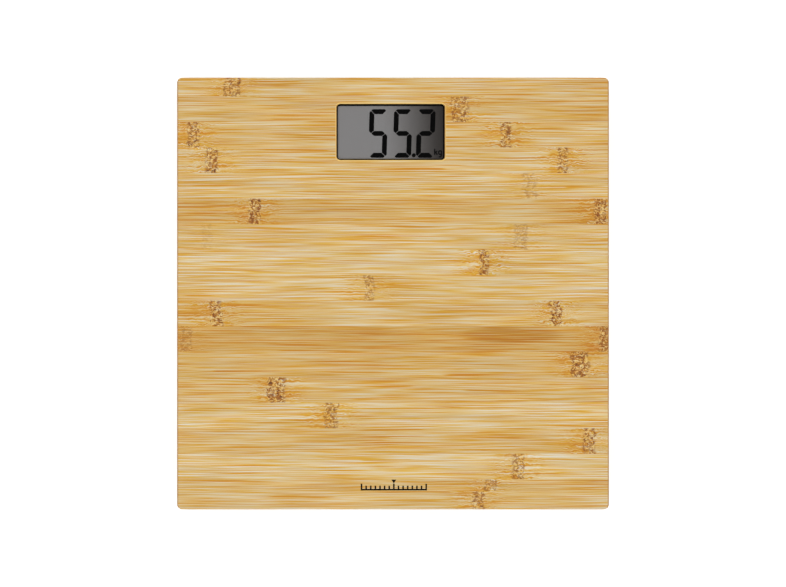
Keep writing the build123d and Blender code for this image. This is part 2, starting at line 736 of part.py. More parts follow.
make_contact("bridge", -1, BAY_Y, BAY[1] - CONTACT_INSET, dimple_y=CELL_Y[1])
make_contact("positive", 1, CELL_Y[0], CELL_PITCH - CONTACT_INSET, dimple_y=CELL_Y[0], tab=True)
make_contact("negative", 1, CELL_Y[1], CELL_PITCH - CONTACT_INSET, tab=True)

COIL_HEIGHT = SPRING_SPACE - 2 * (SPRING_WIRE_R + SPRING_GAP)
with BuildPart() as springs:
    for side, y in ((-1, CELL_Y[0]), (1, CELL_Y[1])):
        foot_of_coil = bay_plane(side, y, CONTACT_THICK + SPRING_WIRE_R + SPRING_GAP)
        with BuildLine():
            coil = Helix(
                pitch=COIL_HEIGHT / SPRING_TURNS,
                height=COIL_HEIGHT,
                radius=SPRING_WIDE_R,
                center=foot_of_coil.origin,
                direction=foot_of_coil.z_dir,
                cone_angle=-SPRING_CONE,
            )
        with BuildSketch(Plane(origin=coil @ 0, z_dir=coil % 0)):
            Circle(SPRING_WIRE_R)
        sweep(is_frenet=True)
save("battery_springs", springs.part)


def make_lead(name, cell_y, lead):
    """An insulated lead from a solder tab to the underside of the circuit board."""
    board_x, end_y, first_bend = lead
    x = DISPLAY_X + board_x
    z = TAB_Z + CONTACT_THICK / 2
    start_x = DISPLAY_X + WALL_X + TAB_REACH
    corners = [(start_x, cell_y, z), (x, cell_y, z), (x, end_y, z), (x, end_y, PCB_Z)]
    with BuildPart() as wire:
        with BuildLine():
            route = FilletPolyline(*corners, radius=[first_bend, LEAD_LAST_BEND])
        with BuildSketch(Plane(origin=route @ 0, z_dir=route % 0)):
            Circle(LEAD_R)
        sweep()
    save(name, wire.part)


make_lead("battery_lead_red", CELL_Y[0], RED_LEAD)
make_lead("battery_lead_black", CELL_Y[1], BLACK_LEAD)


# ---------------------------------------------------------------- feet and load cells
STAKES = [(x, y) for x in (-STAKE_AT[0], STAKE_AT[0]) for y in (-STAKE_AT[1], STAKE_AT[1])]


def make_load_cell_housing(corner):
    """The round plastic housing let into the board, with three screw lugs on its flange."""
    base = corner.plane
    with BuildPart() as housing:
        with BuildSketch(base.offset(FLANGE_Z)) as outline:
            Circle(FLANGE_R)
            with PolarLocations(LUG_PITCH_R, LUG_COUNT, LUG_START):
                Circle(LUG_R)
            fillet(outline.vertices(), LUG_NECK_R)
        extrude(amount=BOARD_Z - FLANGE_Z)
        with BuildSketch(base.offset(BOARD_Z)):
            Circle(BODY_R)
        extrude(amount=BODY_ROOF - BOARD_Z)
        with BuildSketch(base.offset(FLANGE_Z)):
            Circle(CAVITY_R)
        extrude(amount=BODY_CEILING - FLANGE_Z, mode=Mode.SUBTRACT)
        with BuildSketch(base.offset(BOARD_Z)):
            with Locations((BODY_R, 0)):
                Rectangle(3 * (BODY_R - CAVITY_R), GROOVE_WIDTH)
        extrude(amount=GROOVE_TOP - BOARD_Z, mode=Mode.SUBTRACT)
        # bars that carry the load cell's rim, with heat-formed stakes through it
        with BuildSketch(base.offset(STEEL_TOP)):
            with Locations((0, -STAKE_AT[1]), (0, STAKE_AT[1])):
                Rectangle(*BAR)
        extrude(amount=BODY_CEILING - STEEL_TOP)
        with BuildSketch(base.offset(STEEL_Z)):
            with Locations(*STAKES):
                Circle(STAKE_R)
        extrude(amount=STEEL_THICK)
        with BuildSketch(base.offset(STEEL_Z - STAKE_HEAD)):
            with Locations(*STAKES):
                Circle(STAKE_HEAD_R)
        extrude(amount=STAKE_HEAD)
        with Locations(*[Location(spot, (180, 0, 0)) for spot in corner.lugs(FLANGE_Z)]):
            CounterSinkHole(
                radius=LUG_SCREW[1] + SINK_GAP,
                counter_sink_radius=LUG_SCREW[0] + SINK_GAP,
                depth=BOARD_Z - FLANGE_Z,
                counter_sink_angle=SINK_ANGLE,
            )
    save(f"load_cell_housing_{corner.name}", housing.part)


def make_load_cell(corner):
    """The steel plate, with a slot around three sides of the tongue that the foot pushes."""
    with BuildPart() as cell:
        with BuildSketch(corner.plane.offset(STEEL_Z)):
            RectangleRounded(PLATE, PLATE, PLATE_CORNER_R)
            with Locations(((SLOT_START + SLOT_END) / 2, 0)):
                Rectangle(SLOT_END - SLOT_START, 2 * SLOT_HALF, mode=Mode.SUBTRACT)
            tongue = SLOT_END - SLOT_START - SLOT_WIDTH
            with Locations((SLOT_END - tongue / 2, 0)):
                Rectangle(tongue, 2 * (SLOT_HALF - SLOT_WIDTH))
            Circle(FOOT_SCREW[1] + TONGUE_HOLE_GAP, mode=Mode.SUBTRACT)
            with Locations(*STAKES):
                Circle(STAKE_R + STAKE_GAP, mode=Mode.SUBTRACT)
        extrude(amount=STEEL_THICK)
    save(f"load_cell_{corner.name}", cell.part)


def make_strain_gauge(corner):
    """The gauge at the tongue's root, under its drop of sealant."""
    with BuildPart() as gauge:
        with BuildSketch(corner.plane.offset(STEEL_TOP)):
            with Locations((GAUGE_X, 0)):
                Rectangle(*GAUGE)
        extrude(amount=GAUGE_HEIGHT)
        fillet(gauge.faces().sort_by(Axis.Z)[-1].edges(), GAUGE_EDGE_R)
    save(f"strain_gauge_{corner.name}", gauge.part)


def make_foot(corner):
    """The ribbed cap that carries the rubber pad and pushes the load cell's tongue."""
    base = corner.plane
    with BuildPart() as foot:
        with BuildSketch(base.offset(FOOT_Z)):
            Circle(FOOT_R)
        extrude(amount=FOOT_RIM_TOP - FOOT_Z)
        fillet(foot.faces().sort_by(Axis.Z)[0].edges(), FOOT_EDGE_R)
        with BuildSketch(base.offset(FOOT_BASE_TOP)):
            Circle(FOOT_R - FOOT_RIM_WALL)
        extrude(amount=FOOT_RIM_TOP - FOOT_BASE_TOP, mode=Mode.SUBTRACT)
        with BuildSketch(base.offset(FOOT_BASE_TOP)):
            with PolarLocations(0, FOOT_RIBS // 2, angular_range=180):
                Rectangle(2 * (FOOT_R - FOOT_RIM_WALL / 2), FOOT_RIB)
        extrude(amount=FOOT_RIB_TOP - FOOT_BASE_TOP)
        with BuildSketch(base.offset(FOOT_BASE_TOP)):
            Circle(BOSS_R)
        extrude(amount=STEEL_Z - FOOT_BASE_TOP)
        with BuildSketch(base.offset(FOOT_Z)):
            Circle(PAD_R + PAD_GAP)
        extrude(amount=PAD_TOP - FOOT_Z, mode=Mode.SUBTRACT)
        pilot = FOOT_SCREW[2] - STEEL_THICK + FOOT_PILOT_DEEPER
        with BuildSketch(base.offset(STEEL_Z)):
            Circle(FOOT_SCREW[1] + PILOT_GAP)
        extrude(amount=-pilot, mode=Mode.SUBTRACT)
    save(f"foot_{corner.name}", foot.part)


def make_foot_pad(corner):
    """The rubber disc on the floor, with ring grooves in its tread."""
    base = corner.plane
    with BuildPart() as pad:
        with BuildSketch(base):
            Circle(PAD_R)
        extrude(amount=PAD_TOP)
        fillet(pad.faces().sort_by(Axis.Z)[0].edges(), PAD_EDGE_R)
        with BuildSketch(base):
            for ring in PAD_RINGS:
                Circle(ring + PAD_RING_WIDTH / 2)
                Circle(ring - PAD_RING_WIDTH / 2, mode=Mode.SUBTRACT)
        extrude(amount=PAD_RING_DEPTH, mode=Mode.SUBTRACT)
    save(f"foot_pad_{corner.name}", pad.part)


def make_foot_screw(corner):
    """The screw through the load cell's tongue into the foot, head up."""
    screw = make_screw(FOOT_SCREW, False)
    with BuildPart() as placed:
        with Locations(Location((corner.centre.X, corner.centre.Y, STEEL_TOP + PAN_HEAD), (180, 0, 0))):
            add(screw)
    save(f"foot_screw_{corner.name}", placed.part)


def make_sensor_wires(corner):
    """Three wires from the strain gauge along the groove and up to the circuit board."""
    with BuildPart() as wires:
        for shift in (-WIRE_PITCH, 0, WIRE_PITCH):
            with BuildLine():
                route = FilletPolyline(*corner.wire_points(shift), radius=list(WIRE_BENDS))
            with BuildSketch(Plane(origin=route @ 0, z_dir=route % 0)):
                Circle(WIRE_R)
            sweep()
    save(f"sensor_wires_{corner.name}", wires.part)


def make_cable_cover(corner):
    """The strip pressed into the board over the wires."""
    length = corner.cover_end - COVER_START - 2 * COVER_GAP
    with BuildPart() as cover:
        with BuildSketch(corner.plane.offset(BOARD_Z)):
            with Locations(((COVER_START + corner.cover_end) / 2, 0)):
                RectangleRounded(length, COVER_WIDTH - 2 * COVER_GAP, COVER_R)
        extrude(amount=COVER_THICK)
    save(f"cable_cover_{corner.name}", cover.part)


for corner in CORNERS:
    make_load_cell_housing(corner)
    make_load_cell(corner)
    make_strain_gauge(corner)
    make_foot(corner)
    make_foot_pad(corner)
    make_foot_screw(corner)
    make_sensor_wires(corner)
    make_cable_cover(corner)

screw_group("foot_housing_screws", LUG_SCREW, True, LUG_SPOTS)
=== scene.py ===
import math

import bmesh
import bpy
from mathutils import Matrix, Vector


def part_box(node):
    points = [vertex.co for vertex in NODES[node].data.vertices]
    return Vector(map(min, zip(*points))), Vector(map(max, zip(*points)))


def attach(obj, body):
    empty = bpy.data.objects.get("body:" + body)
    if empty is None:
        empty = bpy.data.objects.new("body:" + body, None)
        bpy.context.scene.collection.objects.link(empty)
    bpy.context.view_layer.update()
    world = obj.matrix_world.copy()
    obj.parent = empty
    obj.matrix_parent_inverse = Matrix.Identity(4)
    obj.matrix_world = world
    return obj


# A bamboo bathroom scale's looks: materials for the CAD nodes, three thin pieces for the display's segments
# and the print, and the studio.
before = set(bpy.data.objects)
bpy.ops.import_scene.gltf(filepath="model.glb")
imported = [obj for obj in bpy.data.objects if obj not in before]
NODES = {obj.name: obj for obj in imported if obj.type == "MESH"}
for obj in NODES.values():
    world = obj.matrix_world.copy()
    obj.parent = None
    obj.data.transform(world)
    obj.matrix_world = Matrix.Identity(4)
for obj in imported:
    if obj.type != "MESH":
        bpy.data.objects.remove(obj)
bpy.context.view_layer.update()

MM = 0.001
CORNERS = ("front_left", "front_right", "rear_left", "rear_right")
BOARD_LOW, BOARD_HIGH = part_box("bamboo_platform")
BOARD_MM = (BOARD_HIGH.x - BOARD_LOW.x) / MM
TOP_MM = BOARD_HIGH.z / MM

# The window in the board's top, in mm, from the lens that fills it but for a narrow gap.
LENS_LOW, LENS_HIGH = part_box("lcd_lens")
LENS_GAP = 0.2
WINDOW_X = (LENS_LOW.x + LENS_HIGH.x) / 2 / MM
WINDOW_Y = (LENS_LOW.y + LENS_HIGH.y) / 2 / MM
WINDOW_LONG = (LENS_HIGH.x - LENS_LOW.x) / MM + 2 * LENS_GAP
WINDOW_WIDE = (LENS_HIGH.y - LENS_LOW.y) / MM + 2 * LENS_GAP
WINDOW_R = 2.5  # radius of its corners


def srgb(red, green, blue):
    """A colour given as 0 to 255 screen values, as linear RGBA."""
    linear = []
    for value in (red, green, blue):
        value /= 255
        linear.append(value / 12.92 if value <= 0.04045 else ((value + 0.055) / 1.055) ** 2.4)
    return (*linear, 1.0)


def scaled(colour, scale, lift=0.0):
    """A linear colour made darker or lighter."""
    return (*(min(1.0, value * scale + lift) for value in colour[:3]), 1.0)


# ---------------------------------------------------------------- node trees
class Tree:
    """A material with short calls for its nodes. Inputs are numbers, colours or other nodes' sockets."""

    def __init__(self, name, **finish):
        self.material = bpy.data.materials.new(name)
        self.material.use_nodes = True
        self.nodes = self.material.node_tree.nodes
        self.links = self.material.node_tree.links
        self.shader = self.nodes["Principled BSDF"]
        for label, value in finish.items():
            self.set(label, value)
        self.place = self.node("ShaderNodeTexCoord").outputs["Object"]

    def node(self, kind, **settings):
        made = self.nodes.new(kind)
        for label, value in settings.items():
            setattr(made, label, value)
        return made

    def put(self, socket, value):
        if isinstance(value, bpy.types.NodeSocket):
            self.links.new(value, socket)
        elif value is not None:
            socket.default_value = value

    def fill(self, sockets, values):
        for socket, value in zip(sockets, values):
            self.put(socket, value)

    def set(self, label, value):
        self.put(self.shader.inputs[label], value)

    def math(self, operation, a, b=None, c=None):
        made = self.node("ShaderNodeMath", operation=operation)
        self.fill(made.inputs, (a, b, c))
        return made.outputs[0]

    def plus(self, a, b):
        return self.math("ADD", a, b)

    def minus(self, a, b):
        return self.math("SUBTRACT", a, b)

    def times(self, a, b):
        return self.math("MULTIPLY", a, b)

    def over(self, a, b):
        return self.math("DIVIDE", a, b)

    def range(self, value, low, high, to_low=0.0, to_high=1.0, smooth=False):
        """Carries value from between low and high to between to_low and to_high, and keeps it there."""
        made = self.node("ShaderNodeMapRange", interpolation_type="SMOOTHSTEP" if smooth else "LINEAR")
        self.fill(made.inputs, (value, low, high, to_low, to_high))
        return made.outputs[0]

    def choose(self, which, a, b):
        """a where which is 0, b where it is 1."""
        made = self.node("ShaderNodeMix", data_type="FLOAT")
        self.fill((made.inputs[0], made.inputs[2], made.inputs[3]), (which, a, b))
        return made.outputs[0]

    def mix(self, amount, a, b, blend="MIX"):
        """The same for colours."""
        made = self.node("ShaderNodeMix", data_type="RGBA", blend_type=blend)
        self.fill((made.inputs[0], made.inputs[6], made.inputs[7]), (amount, a, b))
        return made.outputs[2]

    def blend(self, amount, a, b):
        """The same for shaders, and makes the result the material's surface."""
        made = self.node("ShaderNodeMixShader")
        self.fill(made.inputs, (amount, a.outputs[0], b.outputs[0]))
        output = next(node for node in self.nodes if node.type == "OUTPUT_MATERIAL")
        self.put(output.inputs["Surface"], made.outputs[0])

    def split(self, vector):
        made = self.node("ShaderNodeSeparateXYZ")
        self.put(made.inputs[0], vector)
        return made.outputs

    def join(self, x, y, z):
        made = self.node("ShaderNodeCombineXYZ")
        self.fill(made.inputs, (x, y, z))
        return made.outputs[0]

    def channels(self, colour):
        made = self.node("ShaderNodeSeparateColor")
        self.put(made.inputs[0], colour)
        return made.outputs

    def stretch(self, vector, scale):
        made = self.node("ShaderNodeVectorMath", operation="MULTIPLY")
        self.fill(made.inputs, (vector, scale))
        return made.outputs[0]

    def in_mm(self, unit=1.0):
        """X, Y and Z in the part's frame, in millimetres or in a unit of so many of them."""
        return self.split(self.stretch(self.place, (1 / (unit * MM),) * 3))

    def noise(self, vector, scale=1.0, detail=2.0, roughness=0.5, distortion=0.0):
        made = self.node("ShaderNodeTexNoise")
        self.put(made.inputs["Vector"], vector)
        made.inputs["Scale"].default_value = scale
        made.inputs["Detail"].default_value = detail
        made.inputs["Roughness"].default_value = roughness
        made.inputs["Distortion"].default_value = distortion
        return made.outputs["Fac"]

    def mottle(self, size, detail=3.0, roughness=0.5):
        """Noise with features about size mm across."""
        return self.noise(self.place, 1 / (size * MM), detail, roughness)

    def swing(self, vector, reach, detail=1.0):
        """Noise that mostly stays between -reach and reach."""
        return self.range(self.noise(vector, detail=detail), 0.3, 0.7, -reach, reach)

    def cells(self, vector, scale=1.0, randomness=1.0, output="Distance"):
        made = self.node("ShaderNodeTexVoronoi")
        self.put(made.inputs["Vector"], vector)
        made.inputs["Scale"].default_value = scale
        made.inputs["Randomness"].default_value = randomness
        return made.outputs[output]

    def ramp(self, value, stops, interpolation="LINEAR"):
        made = self.node("ShaderNodeValToRGB")
        made.color_ramp.interpolation = interpolation
        elements = made.color_ramp.elements
        while len(elements) < len(stops):
            elements.new(1.0)
        for element, (position, colour) in zip(elements, stops):
            element.position = position
            element.color = colour
        self.put(made.inputs[0], value)
        return made.outputs["Color"]

    def bump(self, height, distance, strength):
        made = self.node("ShaderNodeBump")
        made.inputs["Strength"].default_value = strength
        made.inputs["Distance"].default_value = distance
        self.put(made.inputs["Height"], height)
        self.set("Normal", made.outputs[0])


# ---------------------------------------------------------------- bamboo
# The strips of the top layer from the rear edge: width in mm, tone from 0 (darkest) to 1 (palest), and the
# knuckles in each as (mm right of the centre, strength from 0 to 1, width in mm). Colours are screen values.
DARK_STRIP = (203, 158, 82)
PALE_STRIP = (219, 187, 127)
STRIP = 17.72
STRIPS = [
    (13.2, 0.6, [(-112, 0.8, 12)]),
    (STRIP, 0.5, [(47, 0.8, 13)]),
    (STRIP, 0.6, [(-138, 0.9, 9), (79, 0.9, 8)]),
    (STRIP, 0.7, [(-126, 0.9, 9), (118, 0.8, 8)]),
    (STRIP, 0.8, [(95, 0.35, 10)]),
    (STRIP, 0.35, [(-96, 1.0, 9), (144, 1.0, 9)]),
    (STRIP, 0.8, [(89, 0.4, 10), (-129, 0.15, 8)]),
    (STRIP, 0.95, [(63, 1.0, 7)]),
    (STRIP, 0.85, [(-17, 0.6, 7)]),
    (STRIP, 0.65, [(-123, 1.0, 9), (113, 1.0, 9)]),
    (STRIP, 0.0, [(147, 1.0, 9), (-144, 0.4, 9)]),
    (STRIP, 0.45, [(130, 1.0, 13)]),
    (STRIP, 0.55, [(-81, 0.95, 13)]),
    (STRIP, 0.9, [(-43, 0.75, 10)]),
    (STRIP, 0.55, [(136, 0.95, 9)]),
    (STRIP, 1.0, [(87, 0.75, 9)]),
    (8.3, 0.5, [(68, 0.7, 9)]),
    (12.7, 0.65, [(59, 0.75, 9)]),
]
WIDEST_KNUCKLE = 20.0
NO_KNUCKLE = 4.0  # in board widths from the left edge: far off the board
LOWER_STRENGTH, LOWER_WIDTH = 0.7, 0.45  # of the lower layers' knuckles, the width as a share of the widest
PLY_MM = (TOP_MM - BOARD_LOW.z / MM) / 3
TOP_SKIN = 0.01  # how far below the top face, in mm, the top layer begins
STAIN_X, STAIN_Y = 82.0, -28.5  # middle of a darker lens-shaped place in one strip, in mm
STAIN_LONG, STAIN_WIDE = 40.0, 7.0

# What a fibre's shade does to its strip's colour. EVEN_TINT leaves the colour as it is.
EVEN_TINT = 0.36
EVEN_SHADE = 0.56
TINTS = [
    (0.00, (0.310, 0.184, 0.010, 1.0)),
    (0.20, (0.338, 0.244, 0.020, 1.0)),
    (0.38, (0.353, 0.306, 0.070, 1.0)),
    (0.50, (0.361, 0.353, 0.288, 1.0)),
    (0.66, (0.365, 0.398, 0.480, 1.0)),
    (0.84, (0.368, 0.445, 0.720, 1.0)),
    (1.00, (0.372, 0.495, 0.950, 1.0)),
]


def strip_colour(tone):
    """A strip's colour for its tone from 0 to 1."""
    return srgb(*(dark + tone * (pale - dark) for dark, pale in zip(DARK_STRIP, PALE_STRIP)))


def strip_knuckle(strip, order):
    """A knuckle's place in board widths from the left edge, its strength and its share of the widest."""
    knuckles = strip[2]
    if order >= len(knuckles):
        return NO_KNUCKLE, 0.0, 0.5
    place, strength, width = knuckles[order]
    return place / BOARD_MM + 0.5, strength, width / WIDEST_KNUCKLE


class Bamboo(Tree):
    """Edge-glued bamboo strips in three crossed layers, with knuckles, under clear lacquer."""

    def __init__(self):
        super().__init__("bamboo")
        self.x, self.y, self.z = self.in_mm()
        self.layer = self.math("FLOOR", self.over(self.minus(TOP_MM - TOP_SKIN, self.z), PLY_MM))
        self.on_top = self.math("LESS_THAN", self.layer, 0.5)
        self.along, self.across = self.crossed(self.x, self.y)
        self.find_strip()
        self.find_knuckle()
        self.lay_fibres()
        colour = self.knuckle_marks(self.fibre_colour())
        colour = self.glue_lines(self.end_grain(self.paint_edge_light_and_shade(colour)))
        self.set("Base Color", colour)
        self.set("Roughness", self.range(self.streak, -0.2, 0.2, 0.5, 0.4))
        self.set("Coat Weight", 0.2)
        self.set("Coat Roughness", 0.3)
        self.bump(self.minus(self.times(self.fine, 0.6), self.pits), 0.03 * MM, 0.3)

    def crossed(self, x, y):
        """Along and across the fibres: the middle layer's run along Y, the others' along X."""
        turned = self.math("COMPARE", self.layer, 1.0, 0.5)
        return self.choose(turned, x, y), self.choose(turned, y, x)

    def strip_number(self):
        """The number of the top strip here, counted from the rear edge."""
        from_rear = self.minus(BOARD_MM / 2, self.y)
        after_first = self.minus(from_rear, STRIPS[0][0])
        number = self.plus(self.math("FLOOR", self.over(after_first, STRIP)), 1.0)
        in_last = self.math("GREATER_THAN", from_rear, BOARD_MM - STRIPS[-1][0])
        number = self.plus(number, in_last)
        return self.math("MAXIMUM", self.math("MINIMUM", number, len(STRIPS) - 1.0), 0.0)

    def look_up(self, values):
        """The top strip's own value, from one RGBA value per strip."""
        stops = [(i / len(values), value) for i, value in enumerate(values)]
        return self.ramp(self.over(self.plus(self.number, 0.5), len(values)), stops, "CONSTANT")

    def find_strip(self):
        """The strip's tone and noise seed: from the table in the top layer, by chance in the others."""
        self.number = self.strip_number()
        lower_number = self.math("FLOOR", self.over(self.across, STRIP))
        lower_number = self.plus(lower_number, self.times(self.layer, 31.0))
        chance = self.node("ShaderNodeTexWhiteNoise", noise_dimensions="1D")
        self.put(chance.inputs["W"], lower_number)
        lower_tone = self.mix(chance.outputs["Value"], strip_colour(0.2), strip_colour(0.9))
        top_tone = self.look_up([strip_colour(tone) for width, tone, knuckles in STRIPS])
        self.tone = self.mix(self.on_top, lower_tone, top_tone)
        self.seed = self.choose(self.on_top, lower_number, self.times(self.number, 7.31))
        self.lower_place = self.times(self.channels(chance.outputs["Color"])[1], 1.3)

    def knuckle(self, order, lower_place, lower_strength):
        """The distance to one of the strip's knuckles, positive on its right, its strength and its width."""
        rows = [strip_knuckle(strip, order) for strip in STRIPS]
        table = self.look_up([(place / NO_KNUCKLE, strength, width, 1.0) for place, strength, width in rows])
        place, strength, width = self.channels(table)[:3]
        place = self.choose(self.on_top, lower_place, self.times(place, NO_KNUCKLE))
        gap = self.minus(self.wandered, self.times(self.minus(place, 0.5), BOARD_MM))
        strength = self.choose(self.on_top, lower_strength, strength)
        width = self.choose(self.on_top, LOWER_WIDTH, width)
        return gap, strength, width

    def find_knuckle(self):
        """The nearer of the strip's two knuckles, each of which wanders a little across the strip."""
        wander = self.swing(self.join(self.seed, self.times(self.across, 0.16), 0.0), 1.3, detail=2.0)
        self.wandered = self.plus(self.along, wander)
        self.knuckles = [self.knuckle(0, self.lower_place, LOWER_STRENGTH), self.knuckle(1, NO_KNUCKLE, 0.0)]
        distances = [self.math("ABSOLUTE", gap) for gap, strength, width in self.knuckles]
        nearer = self.math("LESS_THAN", *distances)
        self.gap, self.strong, self.width = (self.choose(nearer, b, a) for a, b in zip(*self.knuckles))
        self.distance = self.math("ABSOLUTE", self.gap)

    def lay_fibres(self):
        """Fibres run straight, drift slowly, wave near a knuckle and change across it."""
        self.halo = self.times(self.range(self.distance, 27.0, 4.0, smooth=True), self.strong)
        wave_place = self.join(self.over(self.along, 4.2), self.over(self.across, 2.6), self.seed)
        wave = self.times(self.swing(wave_place, 0.9, detail=2.0), self.halo)
        drift_place = self.join(self.over(self.along, 120.0), self.over(self.across, 30.0), self.seed)
        drift = self.swing(drift_place, 0.6)
        self.fibre = self.plus(self.plus(self.across, wave), drift)
        self.run = self.plus(self.along, self.times(self.seed, 13.7))
        for gap, strength, width in self.knuckles:
            right_of = self.math("GREATER_THAN", gap, 0.0)
            past = self.times(right_of, self.math("GREATER_THAN", strength, 0.5))
            self.run = self.plus(self.run, self.times(past, 47.0))
        self.depth = self.times(self.z, 1.5)

    def fibres(self, length, breadth, shift, detail=1.0):
        """Noise from -0.5 to 0.5 in streaks of this length and breadth in mm. The shift keeps sets apart."""
        sideways = self.plus(self.over(self.fibre, breadth), shift)
        spot = self.join(self.over(self.run, length), sideways, self.depth)
        return self.minus(self.noise(spot, detail=detail), 0.5)

    def stain(self):
        """The darker lens-shaped place in the top layer."""
        right = self.over(self.minus(self.x, STAIN_X), STAIN_LONG)
        rear = self.over(self.minus(self.y, STAIN_Y), STAIN_WIDE)
        reach = self.plus(self.math("POWER", right, 2.0), self.math("POWER", rear, 2.0))
        return self.times(self.range(reach, 1.0, 0.35, smooth=True), self.on_top)

    def brown_lines(self):
        """Beside a knuckle the fibres are browner, mostly on its left."""
        place = self.join(self.over(self.run, 13.0), self.over(self.fibre, 0.6), self.seed)
        lines = self.range(self.noise(place, detail=1.0), 0.53, 0.41)
        left_side = self.range(self.gap, -3.0, 3.0, 1.0, 0.55)
        return self.times(self.times(lines, left_side), self.halo)

    def fibre_colour(self):
        """An even ground with long thin orange and pale lines, closer together in some places."""
        broad = self.fibres(130.0, 5.0, 0.0)
        patch = self.fibres(50.0, 9.0, 11.0)
        self.streak = self.fibres(60.0, 0.55, 23.0)
        self.fine = self.fibres(30.0, 0.4, 37.0)
        strong_line = self.fibres(80.0, 0.55, 51.0, detail=0.0)
        pale_line = self.fibres(60.0, 0.58, 67.0, detail=0.0)
        stain = self.stain()

        shade = self.plus(self.times(self.streak, 2.0), self.times(self.fine, 1.5))
        shade = self.plus(shade, self.times(broad, 0.2))
        shade = self.minus(shade, self.range(strong_line, -0.10, -0.16, 0.0, 0.65, smooth=True))
        shade = self.plus(shade, self.range(pale_line, 0.12, 0.19, 0.0, 0.34, smooth=True))
        shade = self.plus(shade, EVEN_SHADE)
        shade = self.minus(shade, self.times(stain, 0.28))
        shade = self.minus(shade, self.times(self.brown_lines(), 0.6))

        ground = self.range(self.plus(broad, patch), -0.4, 0.4, 0.9, 1.08)
        ground = self.times(ground, self.range(stain, 0.0, 1.0, 1.0, 0.9))
        scaled_tone = self.stretch(self.tone, (1 / EVEN_TINT,) * 3)
        colour = self.mix(1.0, scaled_tone, self.ramp(shade, TINTS), "MULTIPLY")
        return self.mix(1.0, colour, ground, "MULTIPLY")

    def knuckle_marks(self, colour):
        """The knuckle itself: columns of short dark squiggles, with pale flecks and pits between them."""
        half = self.times(self.width, WIDEST_KNUCKLE / 2)
        band = self.range(self.minus(half, self.distance), -0.6, 1.0, smooth=True)
        band = self.times(band, self.strong)
        columns = self.math("PINGPONG", self.plus(self.gap, 40.0), self.times(half, 0.5))
        columns = self.range(self.over(columns, half), 0.05, 0.30, 0.7, 1.0)
        place = self.join(self.over(self.wandered, 1.9), self.over(self.fibre, 1.3), self.seed)
        marks = self.noise(place, detail=1.0, distortion=1.0)
        dark = self.times(self.range(marks, 0.55, 0.45, smooth=True), columns)
        dark = self.times(dark, band)
        pale = self.times(self.range(marks, 0.56, 0.64, smooth=True), band)
        self.pits = self.times(self.range(marks, 0.33, 0.27, smooth=True), band)
        colour = self.mix(self.times(pale, 0.55), colour, srgb(232, 204, 132))
        colour = self.mix(dark, colour, srgb(142, 78, 0))
        return self.mix(self.times(self.pits, 0.85), colour, srgb(52, 24, 0))

    def window_reach(self):
        """How far a point lies outside the rectangle of the window's corner centres, in mm."""
        squares = []
        for place, middle, size in ((self.x, WINDOW_X, WINDOW_LONG), (self.y, WINDOW_Y, WINDOW_WIDE)):
            outside = self.minus(self.math("ABSOLUTE", self.minus(place, middle)), size / 2 - WINDOW_R)
            squares.append(self.math("POWER", self.math("MAXIMUM", outside, 0.0), 2.0))
        return self.math("SQRT", self.plus(*squares))

    def paint_edge_light_and_shade(self, colour):
        """A pale painted highlight round the window's chamfer, and a painted shade in a browner end-grain
        colour along the rounded edge at the sawn ends.
        """
        # Painted highlight: a pale band up to 1 mm outside the window's edge, in the top layer only.
        window_highlight = self.times(self.range(self.window_reach(), WINDOW_R + 1.0, WINDOW_R + 0.7), self.on_top)
        colour = self.mix(self.times(window_highlight, 0.75), colour, srgb(255, 214, 122))
        # Painted shade: within 1.1 mm of the board's sawn ends, where the edge rounds over, the colour turns
        # towards an end-grain brown.
        end_edge_shade = self.range(self.math("ABSOLUTE", self.x), BOARD_MM / 2 - 1.1, BOARD_MM / 2 - 0.6)
        return self.mix(self.times(end_edge_shade, 0.6), colour, srgb(158, 98, 8))

    def end_grain(self, colour):
        """Where the fibres meet an edge, their bundles show as dots."""
        facing_x, facing_y = self.split(self.node("ShaderNodeTexCoord").outputs["Normal"])[:2]
        end_on = self.crossed(facing_x, facing_y)[0]
        amount = self.range(self.math("ABSOLUTE", end_on), 0.35, 0.75)
        section = self.join(0.0, self.times(self.across, 1.9), self.times(self.z, 1.9))
        dots = self.cells(section, randomness=0.8)
        dots = self.range(dots, 0.42, 0.18, 0.0, 0.7, smooth=True)
        end_colour = self.mix(dots, self.mix(0.75, self.tone, srgb(160, 106, 30)), srgb(112, 66, 12))
        return self.mix(amount, colour, end_colour)

    def glue_lines(self, colour):
        """Dark glue between the layers, where an edge shows them."""
        in_layer = self.math("FRACT", self.over(self.minus(TOP_MM, self.z), PLY_MM))
        glue = self.math("GREATER_THAN", self.math("ABSOLUTE", self.minus(in_layer, 0.5)), 0.478)
        glue = self.times(glue, self.math("LESS_THAN", self.z, TOP_MM - 1.5))
        return self.mix(self.times(glue, 0.6), colour, srgb(120, 78, 30))


# ---------------------------------------------------------------- plastics, rubber, metals
def moulded(name, colour, grain=0.18, roughness=0.55, depth=0.02):
    """Moulded plastic with a fine spark-eroded grain, its size and depth in mm, and faint handling marks."""
    tree = Tree(name)
    grit = tree.mottle(grain, roughness=0.6)
    marks = tree.mottle(14, detail=5.0, roughness=0.7)
    wear = 0.075
    tree.set("Base Color", tree.mix(tree.range(marks, 0.35, 0.75), colour, scaled(colour, 1.35, 0.004)))
    tree.set("Roughness", tree.range(marks, 0.3, 0.75, roughness - wear, roughness + wear))
    tree.bump(grit, depth * MM, 0.6)
    return tree.material


